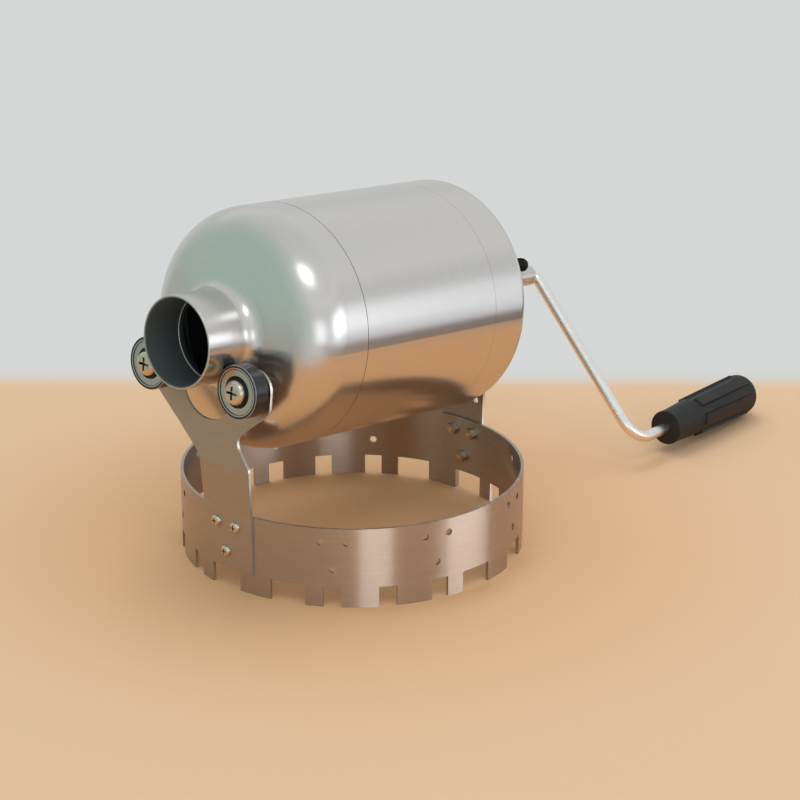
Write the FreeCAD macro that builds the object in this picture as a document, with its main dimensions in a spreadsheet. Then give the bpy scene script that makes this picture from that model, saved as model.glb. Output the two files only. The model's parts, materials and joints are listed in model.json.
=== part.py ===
import FreeCAD, Part
import math
import os
import Sketcher

# Stovetop coffee bean roaster, in millimetres. +Z is up, the origin is the centre of the stand's
# ring on the surface that it stands on, and +Y runs from the drum's mouth to its crank.
# The drum's own frame has its origin at the centre of the mouth, Z along the drum's axis towards
# the crank and Y downwards, square to that axis.

# ---------------------------------------------------------------- driving dimensions
SIZES = {
    # sheet metal stand
    "ring_radius": 87.0,          # outer face of the outer band
    "stand_gauge": 1.5,           # sheet of both bands
    "ring_height": 40.5,
    "notch_height": 10.4,         # from the feet up to the top of the gaps
    "cut_margin": 2.0,            # that a cut through the sheet runs past both of its faces
    "band_end_angle": 8.5,        # from the upright's middle to the outer band's end
    "lap_angle": 9.0,             # of the inner band under the outer one, past the middle
    "upright_side": 20.5,         # from the middle to the side that runs on into the band
    "bend_height": 64.0,          # where the uprights bend square to the drum's axis
    "corner_round": 3.0,
    "waist_round": 6.0,
    "root_rise": 1.0,             # from the bend up to where the plates widen
    # screwed joints of the bands
    "screw_hole_radius": 1.75,
    "screw_pitch": 6.5,           # half the distance between the two upper holes
    "screw_upper": 33.5,
    "screw_lower": 19.5,
    "spare_hole_x": 7.6,
    "spare_hole_z": 52.2,
    # place of the drum
    "axis_side": -17.0,
    "axis_tilt": 6.27,            # degrees, mouth end higher
    "mouth_reach": 16.3,          # of the drum's mouth in front of the ring
    "mouth_z": 126.9,
    # drum
    "neck_radius": 22.4,
    "drum_radius": 59.2,
    "drum_gauge": 1.0,
    "neck_gauge": 1.2,
    "dome_lead": 5.13,            # from the fork's front face to the corner under the flare
    "flare_radius": 8.0,
    "dome_collar": 0.1,           # straight collar between the neck tube's end and the flare
    "dome_rake": 9.6,             # rise of the dome's face from the neck to the wall
    "knuckle_radius": 21.0,
    "dome_depth": 40.4,           # from the corner under the flare to the front seam
    "cap_depth": 25.5,            # from the rear seam to the drum's flat end
    "rear_corner": 5.0,
    "joggle_length": 7.0,
    "seam_gap": 0.35,
    # vanes inside the drum
    "vane_height": 12.0,
    "vane_foot": 8.0,
    "vane_margin": 6.0,           # between a vane's ends and the seams
    "vane_gauge": 1.2,
    # shaft and its seat in the rear upright
    "hub_radius": 14.0,
    "hub_thick": 2.0,
    "hub_gap": 1.64,              # between the hub and the bush
    "stud_radius": 4.0,
    "nut_thick": 5.0,
    "nut_flats": 13.0,
    "washer_radius": 8.5,
    "washer_thick": 1.2,
    "shaft_radius": 5.5,
    "shaft_length": 71.7,         # behind the hub
    "shaft_edge": 0.8,
    "stud_overrun": 1.5,          # of a threaded end past its nut
    "bush_radius": 8.0,
    "bush_flange": 11.0,
    "bush_flange_thick": 1.8,
    "head_side": 16.0,            # half the width of the rear upright's head
    "head_rise": 3.0,             # of the head above the slot's bush
    "head_waist_left": 12.0,      # heights of the head's lower corners above the bend
    "head_waist_right": 20.0,
    # rollers under the neck
    "roller_radius": 13.0,
    "roller_width": 8.0,
    "roller_span": 30.0,          # half the distance between their bolts
    "race_inner": 7.5,
    "race_outer": 10.8,
    "roller_bore": 5.0,
    "ball_radius": 2.2,
    "edge_round": 0.5,
    "shield_gauge": 0.4,
    "spacer_length": 3.5,
    "spacer_radius": 6.6,
    "bolt_radius": 3.0,
    "bolt_head_radius": 6.03,
    "bolt_head_height": 3.3,
    "thin_nut_thick": 3.2,
    "thin_nut_flats": 10.0,
    "arm_round": 9.5,
    "arm_margin": 1.5,            # of an arm's outer side past its round
    "arm_shoulder": 10.0,         # from the bolts down to the corner under the arms
    "fork_waist": 18.6,           # half the width of the fork's lower corners
    "fork_waist_rise": 14.0,      # and their height above the bend
    "saddle_radius": 18.0,
    "saddle_drop": 23.0,          # from the drum's axis to the middle of the saddle's round
    "saddle_lip": 4.0,
    "thread_overrun": 0.8,        # of a screw past its nut
    # foot screws
    "foot_screw_radius": 1.5,
    "foot_head_radius": 2.8,
    "foot_head_height": 1.9,
    "foot_nut_thick": 2.4,
    "foot_nut_flats": 5.5,
    # crank
    "rod_radius": 3.0,
    "rod_grip_depth": 22.0,       # of the rod in the shaft's end
    "crank_angle": 50.1,          # degrees below level at rest
    "crank_lead": 0.2,            # straight rod between the shaft's end and the first bend
    "crank_radius": 105.2,
    "crank_slant": 15.2,          # how far the arm leans back over its length
    "crank_inset": 5.64,          # degrees that the grip's axis closes on the drum's
    "shaft_bend": 5.7,            # radius of the rod's bend beside the shaft
    "elbow_bend": 14.0,           # and of its bend before the grip
    "clamp_place": 8.0,           # of the clamp screw from the shaft's end
    "clamp_radius": 2.5,
    "clamp_head_radius": 4.25,
    "clamp_head_height": 4.6,
    "clamp_head_round": 3.0,
    # grip
    "grip_start": 29.6,
    "grip_length": 84.5,
    "grip_near_radius": 9.2,      # of the barrel behind the rim
    "grip_middle_radius": 10.2,   # where the panels start
    "grip_far_radius": 11.0,      # where they end
    "grip_rim_radius": 9.5,       # of the rim at the end by the elbow
    "grip_rim_width": 2.2,
    "grip_knob_radius": 11.4,     # of the swollen end past the panels
    "grip_knob_round": 5.0,
    "grip_dome": 6.0,             # from the knob's corner to the tip of the cap
    "cap_crown": 1.7,             # of the cap past the rim of its well
    "panel_start": 25.4,
    "panel_end": 74.4,
    "panel_rise": 0.9,
    "panel_near_round": 1.5,
    "panel_far_round": 2.5,
    "panel_width": 6.2,
    "panel_turn": 5.7,            # degrees from the crank's arm to the first panel
    "well_radius": 6.6,
    "well_depth": 15.0,
    # running clearances
    "slide_gap": 0.3,
    "turn_gap": 0.08,
    "seat_gap": 0.05,
}

# shapes of a cross-recessed head, as shares of its height or radius
HEAD_CROWN = 0.75
RECESS_DEPTH = 0.55
RECESS_REACH = 0.55
RECESS_WIDTH = 0.2

doc = FreeCAD.newDocument("roaster")
sheet = doc.addObject("Spreadsheet::Sheet", "Sizes")
for row, (alias, number) in enumerate(SIZES.items(), start=1):
    sheet.set("A%d" % row, alias)
    sheet.set("B%d" % row, str(number))
    sheet.setAlias("B%d" % row, alias)
doc.recompute()


# ---------------------------------------------------------------- sizes that carry their expression
class Size:
    """A length or angle that knows its value and the expression that gives it in the document."""

    def __init__(self, value, text):
        self.value = float(value)
        self.text = text

    def __add__(self, other):
        other = size(other)
        return Size(self.value + other.value, "(%s + %s)" % (self.text, other.text))

    def __sub__(self, other):
        other = size(other)
        return Size(self.value - other.value, "(%s - %s)" % (self.text, other.text))

    def __mul__(self, other):
        other = size(other)
        return Size(self.value * other.value, "(%s * %s)" % (self.text, other.text))

    def __truediv__(self, other):
        other = size(other)
        return Size(self.value / other.value, "(%s / %s)" % (self.text, other.text))

    def __rsub__(self, other):
        return size(other) - self

    def __neg__(self):
        return Size(-self.value, "(0 - %s)" % self.text)

    __radd__ = __add__
    __rmul__ = __mul__


def size(number):
    return number if isinstance(number, Size) else Size(number, repr(float(number)))


def cell(alias):
    return Size(sheet.get(alias), "Sizes." + alias)


def sine(angle):
    return Size(math.sin(math.radians(angle.value)), "sin(%s)" % angle.text)


def cosine(angle):
    return Size(math.cos(math.radians(angle.value)), "cos(%s)" % angle.text)


def arc_sine(ratio):
    return Size(math.degrees(math.asin(ratio.value)), "(asin(%s) / 1deg)" % ratio.text)


def root(number):
    return Size(math.sqrt(number.value), "sqrt(%s)" % number.text)


S = {alias: cell(alias) for alias in SIZES}


def bind(thing, prop, amount):
    setattr(thing, prop, size(amount).value)
    thing.setExpression(prop, size(amount).text)


# ---------------------------------------------------------------- sketches
def vector(point):
    return FreeCAD.Vector(size(point[0]).value, size(point[1]).value, 0)


class Drawing:
    """A sketch of one body, whose points and radii are bound to the sheet."""

    def __init__(self, body, name, plane="XY_Plane", offset=None):
        self.sketch = body.newObject("Sketcher::SketchObject", name)
        support = [f for f in body.Origin.OriginFeatures if f.Role == plane][0]
        self.sketch.AttachmentSupport = (support, [""])
        self.sketch.MapMode = "FlatFace"
        if offset is not None:
            self.sketch.AttachmentOffset = offset
        self.count = 0

    def datum(self, kind, first, second, amount):
        where = (first,) if second is None else (first, second)
        amount = size(amount)
        number = math.radians(amount.value) if kind == "Angle" else amount.value
        unit = " * 1deg" if kind == "Angle" else ""
        index = self.sketch.addConstraint(Sketcher.Constraint(kind, *where, number))
        self.count += 1
        name = "%s%d" % (kind.lower(), self.count)
        self.sketch.renameConstraint(index, name)
        self.sketch.setExpression("Constraints." + name, amount.text + unit)

    def pin(self, geometry, end, point):
        self.datum("DistanceX", geometry, end, point[0])
        self.datum("DistanceY", geometry, end, point[1])

    def circle(self, centre, radius):
        shape = Part.Circle(vector(centre), FreeCAD.Vector(0, 0, 1), size(radius).value)
        index = self.sketch.addGeometry(shape, False)
        self.pin(index, 3, centre)
        self.datum("Radius", index, None, radius)

    def run(self, corners, closed=True):
        """Straight edges through corners, each (x, y) or (x, y, radius) where it is rounded."""
        total = len(corners)
        flat = [vector(c) for c in corners]
        cut_in, cut_out = list(flat), list(flat)
        for k, corner in enumerate(corners):
            if len(corner) == 3:
                back = (flat[k - 1] - flat[k]).normalize()
                ahead = (flat[(k + 1) % total] - flat[k]).normalize()
                reach = size(corner[2]).value / math.tan(back.getAngle(ahead) / 2)
                cut_in[k] = flat[k] + back * reach
                cut_out[k] = flat[k] + ahead * reach
        edges = total if closed else total - 1
        lines = []
        for k in range(edges):
            segment = Part.LineSegment(cut_out[k], cut_in[(k + 1) % total])
            lines.append(self.sketch.addGeometry(segment, False))
        for k, corner in enumerate(corners):
            before = lines[k - 1] if (closed or k > 0) else None
            after = lines[k] if (closed or k < edges) else None
            if len(corner) == 3:
                self.rounded(corner, flat[k], cut_in[k], cut_out[k], before, after)
            elif before is None:
                self.pin(after, 1, corner)
            else:
                self.pin(before, 2, corner)
                if after is not None:
                    self.join("Coincident", before, 2, after, 1)

    def join(self, kind, first, end, second, start):
        self.sketch.addConstraint(Sketcher.Constraint(kind, first, end, second, start))

    def rounded(self, corner, tip, entry, leave, before, after):
        """An arc tangent to both edges, whose lines meet in the corner's point."""
        middle = (entry + leave) * 0.5
        half = (leave - entry).Length / 2
        radius = size(corner[2]).value
        inward = (middle - tip).normalize()
        centre = middle + inward * math.sqrt(max(radius * radius - half * half, 0))
        first = math.atan2(entry.y - centre.y, entry.x - centre.x)
        last = math.atan2(leave.y - centre.y, leave.x - centre.x)
        left_turn = (tip - entry).cross(leave - tip).z > 0
        if not left_turn:
            first, last = last, first
        circle = Part.Circle(centre, FreeCAD.Vector(0, 0, 1), radius)
        arc = self.sketch.addGeometry(Part.ArcOfCircle(circle, first, last), False)
        point = self.sketch.addGeometry(Part.Point(tip), True)
        self.join("Tangent", before, 2, arc, 1 if left_turn else 2)
        self.join("Tangent", arc, 2 if left_turn else 1, after, 1)
        self.datum("Radius", arc, None, corner[2])
        self.pin(point, 1, corner)
        for line in (before, after):
            self.sketch.addConstraint(Sketcher.Constraint("PointOnObject", point, 1, line))

    def sector(self, inner, outer, start, end):
        """A piece of a flat ring about the origin, between two angles in degrees."""
        origin, up = FreeCAD.Vector(0, 0, 0), FreeCAD.Vector(0, 0, 1)
        angles = (math.radians(start.value), math.radians(end.value))
        rims = []
        for radius in (inner, outer):
            rim = Part.ArcOfCircle(Part.Circle(origin, up, radius.value), *angles)
            index = self.sketch.addGeometry(rim, False)
            self.join("Coincident", index, 3, -1, 1)
            self.datum("Radius", index, None, radius)
            rims.append(index)
        for end_point, angle in ((1, start), (2, end)):
            tips = [FreeCAD.Vector(r.value, 0, 0) for r in (inner, outer)]
            turned = [FreeCAD.Rotation(up, angle.value).multVec(tip) for tip in tips]
            side = self.sketch.addGeometry(Part.LineSegment(*turned), False)
            self.join("Coincident", side, 1, rims[0], end_point)
            self.join("Coincident", side, 2, rims[1], end_point)
            self.sketch.addConstraint(Sketcher.Constraint("PointOnObject", -1, 1, side))
            self.datum("Angle", side, None, angle)


# ---------------------------------------------------------------- features
def new_body(label):
    body = doc.addObject("PartDesign::Body", label)
    body.Label = label
    return body


def settle(body, feature):
    doc.recompute()
    body.Tip = feature
    return feature


def pad(body, drawing, length, name="Pad"):
    feature = body.newObject("PartDesign::Pad", name)
    feature.Profile = drawing.sketch
    bind(feature, "Length", length)
    return settle(body, feature)


def pocket(body, drawing, length, towards_normal, name="Pocket"):
    feature = body.newObject("PartDesign::Pocket", name)
    feature.Profile = drawing.sketch
    bind(feature, "Length", length)
    feature.Reversed = towards_normal
    return settle(body, feature)


def turned_about(body, drawing, name="Revolution", kind="PartDesign::Revolution"):
    feature = body.newObject(kind, name)
    feature.Profile = drawing.sketch
    feature.ReferenceAxis = (drawing.sketch, ["V_Axis"])
    feature.Angle = 360
    return settle(body, feature)


def around(body, features, copies, span=360.0, name="PolarPattern"):
    feature = body.newObject("PartDesign::PolarPattern", name)
    feature.Originals = features
    axis = [f for f in body.Origin.OriginFeatures if f.Role == "Z_Axis"][0]
    feature.Axis = (axis, [""])
    feature.Angle = span
    feature.Occurrences = copies
    return settle(body, feature)


def revolved(label, corners, place):
    """A body turned about its local Z axis from corners given as (radius, height)."""
    body = new_body(label)
    drawing = Drawing(body, label + "_profile", "XZ_Plane")
    drawing.run(corners)
    turned_about(body, drawing)
    body.Placement = place
    return body


def cross_recess(body, depth, reach, width, top):
    """The cross-shaped recess of a screw head, cut down from the top of its head."""
    for turn in (0, 1):
        drawing = Drawing(body, "recess%d" % turn, offset=lifted(top))
        half = (reach, width / 2) if turn == 0 else (width / 2, reach)
        drawing.run([(-half[0], -half[1]), (half[0], -half[1]), half, (-half[0], half[1])])
        pocket(body, drawing, depth, False, "Recess%d" % turn)


def lifted(height):
    return FreeCAD.Placement(FreeCAD.Vector(0, 0, size(height).value), FreeCAD.Rotation())


def group(label, shapes):
    """Several like solids in one node."""
    feature = doc.addObject("Part::Feature", label)
    feature.Label = label
    feature.Shape = Part.makeCompound(shapes)
    return feature


def copies_of(label, master, places):
    shapes = []
    for place in places:
        shape = master.Shape.copy()
        shape.Placement = place
        shapes.append(shape)
    return group(label, shapes)


# ---------------------------------------------------------------- frames of the model
X_AXIS = FreeCAD.Vector(1, 0, 0)
Y_AXIS = FreeCAD.Vector(0, 1, 0)
Z_AXIS = FreeCAD.Vector(0, 0, 1)
mouth_y = -(S["ring_radius"] + S["mouth_reach"])
MOUTH = FreeCAD.Vector(S["axis_side"].value, mouth_y.value, S["mouth_z"].value)
DRUM = FreeCAD.Placement(MOUTH, FreeCAD.Rotation(X_AXIS, -90 - S["axis_tilt"].value))
CRANK = DRUM * FreeCAD.Placement(FreeCAD.Vector(), FreeCAD.Rotation(Z_AXIS, S["crank_angle"].value))


def in_drum(x, y, z, frame=DRUM):
    point = FreeCAD.Vector(size(x).value, size(y).value, size(z).value)
    return frame * FreeCAD.Placement(point, FreeCAD.Rotation())


def along_axis(y, z):
    """Distance from the mouth's plane, along the drum's axis, of a point of the side view."""
    tilt = S["axis_tilt"]
    return (y - mouth_y) * cosine(tilt) - (z - S["mouth_z"]) * sine(tilt)


def below_axis(y, z):
    """Distance below the drum's axis, square to it, of a point of the side view."""
    tilt = S["axis_tilt"]
    return (mouth_y - y) * sine(tilt) + (S["mouth_z"] - z) * cosine(tilt)


inner_face = S["ring_radius"] - S["stand_gauge"]
band_inside = inner_face - S["stand_gauge"]
front_plate = along_axis(-S["ring_radius"], S["bend_height"])
rear_plate = along_axis(inner_face, S["bend_height"])
front_bend = below_axis(-S["ring_radius"], S["bend_height"])
rear_bend = below_axis(inner_face, S["bend_height"])
upright_left = -S["upright_side"]
upright_right = S["ring_radius"] * sine(S["band_end_angle"])
plate_left = upright_left - S["axis_side"]
plate_right = upright_right - S["axis_side"]
plate_lap = S["stand_gauge"] / 3
hair = size(0.01)  # a straight edge left between two rounds that nearly meet
roller_reach = S["neck_radius"] + S["roller_radius"] + S["seat_gap"]
roller_drop = root(roller_reach * roller_reach - S["roller_span"] * S["roller_span"])
roller_back = front_plate - S["spacer_length"]
roller_front = roller_back - S["roller_width"]
screw_angle = arc_sine(S["screw_pitch"] / S["ring_radius"])

# one triad of screws: each one's name, its angle from the triad's middle and its height
TRIAD = (
    ("left", -screw_angle, S["screw_upper"]),
    ("right", screw_angle, S["screw_upper"]),
    ("low", size(0), S["screw_lower"]),
)

# stations along the drum's axis, from the mouth's plane
dome_foot = front_plate + S["dome_lead"]
dome_slope = S["dome_rake"] / (S["drum_radius"] - S["neck_radius"])
flare_reach = S["flare_radius"] * (root(1 + dome_slope * dome_slope) - dome_slope)
neck_length = dome_foot - flare_reach - S["dome_collar"]
front_seam = dome_foot + S["dome_depth"]
bush_start = rear_plate - S["slide_gap"] - S["bush_flange_thick"]
hub_face = bush_start - S["hub_gap"]
drum_length = hub_face - S["hub_thick"]
rear_seam = drum_length - S["cap_depth"]
shaft_end = hub_face + S["shaft_length"]


# ---------------------------------------------------------------- stand
# gaps between the feet in each quarter of the ring, and the extra one beside the front upright,
# as angles in degrees
GAPS = ((15, 27), (33, 39), (51, 57), (69, 75), (81, 93))
RELIEF = (271, 282)
QUARTERS = 4

# middles of the triads of screw holes, in degrees: one through both bands at each lap, and the
# spare ones of each band
FRONT_TRIAD = -92.2
REAR_TRIAD = 90
OUTER_TRIADS = (126, 162, 198, 234)
INNER_TRIADS = (-53.7, -19.2, 19.5, 54)


def foot_gap(body, name, inner, angles):
    """A gap between two feet, cut up from the floor."""
    gap = Drawing(body, name + "_plan")
    outer = inner + S["stand_gauge"] + S["cut_margin"]
    gap.sector(inner - S["cut_margin"], outer, size(angles[0]), size(angles[1]))
    return pocket(body, gap, S["notch_height"], True, name)


def castellated_band(label, inner, start, end, triads):
    """A rolled strip on edge, with the gaps between its feet and its rows of screw holes."""
    body = new_body(label)
    drawing = Drawing(body, label + "_plan")
    drawing.sector(inner, inner + S["stand_gauge"], start, end)
    pad(body, drawing, S["ring_height"])
    cuts = [foot_gap(body, "Gap%d" % number, inner, angles) for number, angles in enumerate(GAPS)]
    around(body, cuts, QUARTERS)
    for number, angle in enumerate((FRONT_TRIAD, REAR_TRIAD) + triads):
        triad_holes(body, "%s_triad%d" % (label, number), angle)
    return body


def triad_holes(body, name, middle_angle):
    """Three screw holes through the band's wall, drilled towards its middle."""
    for side, turn, height in TRIAD:
        spin = FreeCAD.Rotation(Y_AXIS, middle_angle + 90 + turn.value)
        hole = Drawing(body, name + side, "XZ_Plane", FreeCAD.Placement(FreeCAD.Vector(), spin))
        hole.circle((size(0), height), S["screw_hole_radius"])
        pocket(body, hole, S["ring_radius"] + S["stand_gauge"], True, name + side + "_cut")


def upright_root(body, side, y_sign):
    """The part of an upright between the curved band and its flat plate."""
    low = Drawing(body, side + "_low", offset=lifted(S["ring_height"]))
    start = upright_angle(upright_left if y_sign < 0 else upright_right, y_sign)
    end = upright_angle(upright_right if y_sign < 0 else upright_left, y_sign)
    low.sector(inner_face, S["ring_radius"], start, end)
    high = Drawing(body, side + "_high", offset=lifted(S["bend_height"]))
    ys = [inner_face * y_sign, S["ring_radius"] * y_sign]
    high.run([(upright_left, ys[0]), (upright_left, ys[1]), (upright_right, ys[1]), (upright_right, ys[0])])
    loft = body.newObject("PartDesign::AdditiveLoft", side + "_root")
    loft.Profile = low.sketch
    loft.Sections = [high.sketch]
    loft.Ruled = True
    return settle(body, loft)


def upright_angle(x, y_sign):
    angle = arc_sine(x / S["ring_radius"])
    return angle - 90 if y_sign < 0 else 90 - angle


def fork_plate(body):
    """The fork that carries the rollers, drawn from the drum's axis downwards."""
    fork = Drawing(body, "fork_outline", offset=DRUM * lifted(front_plate))
    span, rise, turn = S["roller_span"], S["arm_round"], S["waist_round"]
    root_corner = front_bend - S["root_rise"]
    waist = (S["fork_waist"], front_bend - S["fork_waist_rise"])
    outer = span + rise + S["arm_margin"]
    shoulder = roller_drop + S["arm_shoulder"]
    tip = roller_drop - rise
    saddle, lip = S["saddle_radius"], S["saddle_drop"]
    saddle_floor = S["saddle_drop"] + saddle
    fork.run([
        (plate_left, front_bend + plate_lap), (plate_left, root_corner, S["corner_round"]),
        (-waist[0], waist[1], turn), (-outer, shoulder, turn), (-outer, tip, rise),
        (-(span - rise), tip, rise), (-saddle, lip, S["saddle_lip"]),
        (-saddle, saddle_floor, saddle - hair), (saddle, saddle_floor, saddle - hair),
        (saddle, lip, S["saddle_lip"]), (span - rise, tip, rise),
        (outer, tip, rise), (outer, shoulder, turn), (waist[0], waist[1], turn),
        (plate_right, root_corner, S["corner_round"]), (plate_right, front_bend + plate_lap),
    ])
    for x in (-span, span):
        fork.circle((x, roller_drop), S["bolt_radius"] + S["seat_gap"])
    pad(body, fork, S["stand_gauge"], "Fork")


def head_plate(body):
    """The rear upright's head, with the open slot that the shaft's bush drops into."""
    head = Drawing(body, "head_outline", offset=DRUM * lifted(rear_plate))
    slot = S["bush_radius"] + S["turn_gap"]
    top = -(S["bush_radius"] + S["head_rise"])
    half, turn = S["head_side"], S["waist_round"]
    root_corner = rear_bend - S["root_rise"]
    head.run([
        (plate_left, rear_bend + plate_lap), (plate_left, root_corner, S["corner_round"]),
        (-half, rear_bend - S["head_waist_left"], turn), (-half, top, S["corner_round"]), (-slot, top),
        (-slot, slot, slot - hair), (slot, slot, slot - hair), (slot, top),
        (half, top, S["corner_round"]), (half, rear_bend - S["head_waist_right"], turn),
        (plate_right, root_corner, S["corner_round"]), (plate_right, rear_bend + plate_lap),
    ])
    pad(body, head, S["stand_gauge"], "Head")


def stand_frame():
    """The outer band with both uprights, cut and rolled from one sheet."""
    start = 90 - S["band_end_angle"]
    end = 270 + S["band_end_angle"]
    body = castellated_band("stand_frame", inner_face, start, end, OUTER_TRIADS)
    foot_gap(body, "Relief", inner_face, RELIEF)
    for name, y_sign in (("front", -1), ("rear", 1)):
        upright_root(body, name, y_sign)
    fork_plate(body)
    head_plate(body)
    spare = Drawing(body, "spare_hole", "XZ_Plane")
    spare.circle((S["spare_hole_x"], S["spare_hole_z"]), S["screw_hole_radius"])
    pocket(body, spare, S["ring_radius"] + S["cut_margin"], False, "SpareHole")
    return body


def ring_band():
    """The inner band that closes the ring, with its ends lapped behind the outer one."""
    start = -90 - S["lap_angle"]
    end = 90 + S["lap_angle"]
    return castellated_band("ring_band", band_inside, start, end, INNER_TRIADS)


def hex_nut(label, flats, bore, thick):
    """A nut that stands on its origin, with its bore along Z."""
    body = new_body(label)
    drawing = Drawing(body, label + "_plan")
    reach = flats / (2 * cosine(size(30)))
    drawing.run([(reach * cosine(size(60 * k)), reach * sine(size(60 * k))) for k in range(6)])
    drawing.circle((size(0), size(0)), bore)
    pad(body, drawing, thick)
    return body


def pan_screw(label, radius, length, head_radius, head_height):
    """A cross-recessed screw whose head stands on its origin and points along Z."""
    zero = size(0)
    body = revolved(label, [
        (zero, -length), (radius, -length), (radius, zero), (head_radius, zero),
        (head_radius, head_height, head_height * HEAD_CROWN), (zero, head_height),
    ], FreeCAD.Placement())
    depth = head_height * RECESS_DEPTH
    cross_recess(body, depth, head_radius * RECESS_REACH, head_radius * RECESS_WIDTH, head_height)
    return body


def foot_places(middle_angle, distance):
    """Where the three screws of one foot meet a radius of the ring, pointing outwards."""
    places = []
    for side, turn, height in TRIAD:
        spin = FreeCAD.Rotation(Z_AXIS, middle_angle + turn.value)
        outward = spin.multVec(X_AXIS)
        point = outward * distance.value + Z_AXIS * height.value
        places.append(FreeCAD.Placement(point, FreeCAD.Rotation(Z_AXIS, outward)))
    return places


def foot_fasteners():
    grip = 2 * S["stand_gauge"] + S["foot_nut_thick"] + S["thread_overrun"]
    screw = pan_screw("foot_screw_master", S["foot_screw_radius"], grip, S["foot_head_radius"],
                      S["foot_head_height"])
    nut = hex_nut("foot_nut_master", S["foot_nut_flats"], S["foot_screw_radius"], S["foot_nut_thick"])
    nut_seat = band_inside - S["seat_gap"] - S["foot_nut_thick"]
    made = []
    for side, angle in (("front", FRONT_TRIAD), ("rear", REAR_TRIAD)):
        made.append(copies_of(side + "_foot_screws", screw, foot_places(angle, S["ring_radius"])))
        made.append(copies_of(side + "_foot_nuts", nut, foot_places(angle, nut_seat)))
    return made


# ---------------------------------------------------------------- rollers
BALLS = 7


def raced(label, corners, pitch, middle):
    """A bearing ring with the round groove that the balls run in."""
    body = revolved(label, corners, FreeCAD.Placement())
    groove = Drawing(body, label + "_race", "XZ_Plane")
    groove.circle((pitch, middle), S["ball_radius"] + S["seat_gap"])
    turned_about(body, groove, "Race", "PartDesign::Groove")
    return body


def roller_parts():
    width, edge = S["roller_width"], S["edge_round"]
    pitch = (S["race_inner"] + S["race_outer"]) / 2
    middle = width / 2
    zero = size(0)
    outer = raced("outer_ring_master", [
        (S["race_outer"], zero), (S["roller_radius"], zero, edge),
        (S["roller_radius"], width, edge), (S["race_outer"], width),
    ], pitch, middle)
    inner = raced("inner_ring_master", [
        (S["roller_bore"], zero), (S["race_inner"], zero, edge),
        (S["race_inner"], width, edge), (S["roller_bore"], width),
    ], pitch, middle)
    inset = S["slide_gap"]
    shield = revolved("shield_master", [
        (S["race_inner"] + inset, inset), (S["race_outer"], inset),
        (S["race_outer"], inset + S["shield_gauge"]),
        (S["race_inner"] + inset, inset + S["shield_gauge"]),
    ], FreeCAD.Placement())
    ball = doc.addObject("Part::Sphere", "ball_master")
    bind(ball, "Radius", S["ball_radius"])
    doc.recompute()
    ball_ring = []
    for k in range(BALLS):
        spin = FreeCAD.Rotation(Z_AXIS, 360.0 * k / BALLS)
        ball_ring.append(FreeCAD.Placement(spin.multVec(X_AXIS * pitch.value) + Z_AXIS * middle.value, spin))
    flipped = FreeCAD.Placement(FreeCAD.Vector(0, 0, width.value), FreeCAD.Rotation(X_AXIS, 180))
    made, seats = [], []
    for side, x in (("left", -S["roller_span"]), ("right", S["roller_span"])):
        seat = in_drum(x, roller_drop, roller_front)
        seats.append(seat)
        made.append(copies_of("roller_%s_ring" % side, outer, [seat]))
        made.append(copies_of("roller_%s_balls" % side, ball, [seat * place for place in ball_ring]))
        made.append(copies_of("roller_%s_shields" % side, shield, [seat, seat * flipped]))
    made.append(copies_of("roller_inner_rings", inner, seats))
    made += roller_mountings()
    return made


def roller_mountings():
    """The bolt, spacer sleeve and nut that hold each roller to an arm of the fork."""
    zero = size(0)
    bore = S["bolt_radius"] + S["seat_gap"]
    sleeve = S["roller_bore"] - S["seat_gap"]
    sleeve_end = S["spacer_length"] + S["roller_width"] - S["slide_gap"]
    spacer = revolved("spacer_master", [
        (bore, sleeve_end), (bore, zero), (S["spacer_radius"], zero, S["edge_round"]),
        (S["spacer_radius"], S["spacer_length"]), (sleeve, S["spacer_length"]), (sleeve, sleeve_end),
    ], FreeCAD.Placement())
    reach = S["roller_width"] + S["spacer_length"] + S["stand_gauge"] + S["thin_nut_thick"]
    reach = reach + S["thread_overrun"]
    bolt = pan_screw("bolt_master", S["bolt_radius"], reach, S["bolt_head_radius"], S["bolt_head_height"])
    nut = hex_nut("thin_nut_master", S["thin_nut_flats"], S["bolt_radius"], S["thin_nut_thick"])
    back = FreeCAD.Placement(FreeCAD.Vector(), FreeCAD.Rotation(X_AXIS, 180))
    sides = (-S["roller_span"], S["roller_span"])
    fronts = [in_drum(x, roller_drop, roller_front) * back for x in sides]
    plates = [in_drum(x, roller_drop, front_plate) * back for x in sides]
    rears = [in_drum(x, roller_drop, front_plate + S["stand_gauge"]) for x in sides]
    return [
        copies_of("roller_bolts", bolt, fronts),
        copies_of("roller_spacers", spacer, plates),
        copies_of("roller_nuts", nut, rears),
    ]


# ---------------------------------------------------------------- drum
VANES = 3


def neck_tube():
    inner, lip = S["neck_radius"] - S["neck_gauge"], S["neck_gauge"] / 3
    return revolved("neck_tube", [
        (inner, size(0), lip), (S["neck_radius"], size(0), lip),
        (S["neck_radius"], neck_length), (inner, neck_length),
    ], DRUM)


def front_dome():
    """The drawn end of the drum: flared from the neck, then a knuckle into the straight wall."""
    gauge, neck, drum = S["drum_gauge"], S["neck_radius"], S["drum_radius"]
    inset = gauge * root(1 + dome_slope * dome_slope)
    inner_foot = dome_foot - gauge * dome_slope + inset
    inner_shoulder = dome_foot + (drum - gauge - neck) * dome_slope + inset
    return revolved("front_dome", [
        (neck, neck_length), (neck, dome_foot, S["flare_radius"]),
        (drum, dome_foot + S["dome_rake"], S["knuckle_radius"]), (drum, front_seam),
        (drum - gauge, front_seam), (drum - gauge, inner_shoulder, S["knuckle_radius"] - gauge),
        (neck - gauge, inner_foot, S["flare_radius"] + gauge), (neck - gauge, neck_length),
    ], DRUM)


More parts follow.
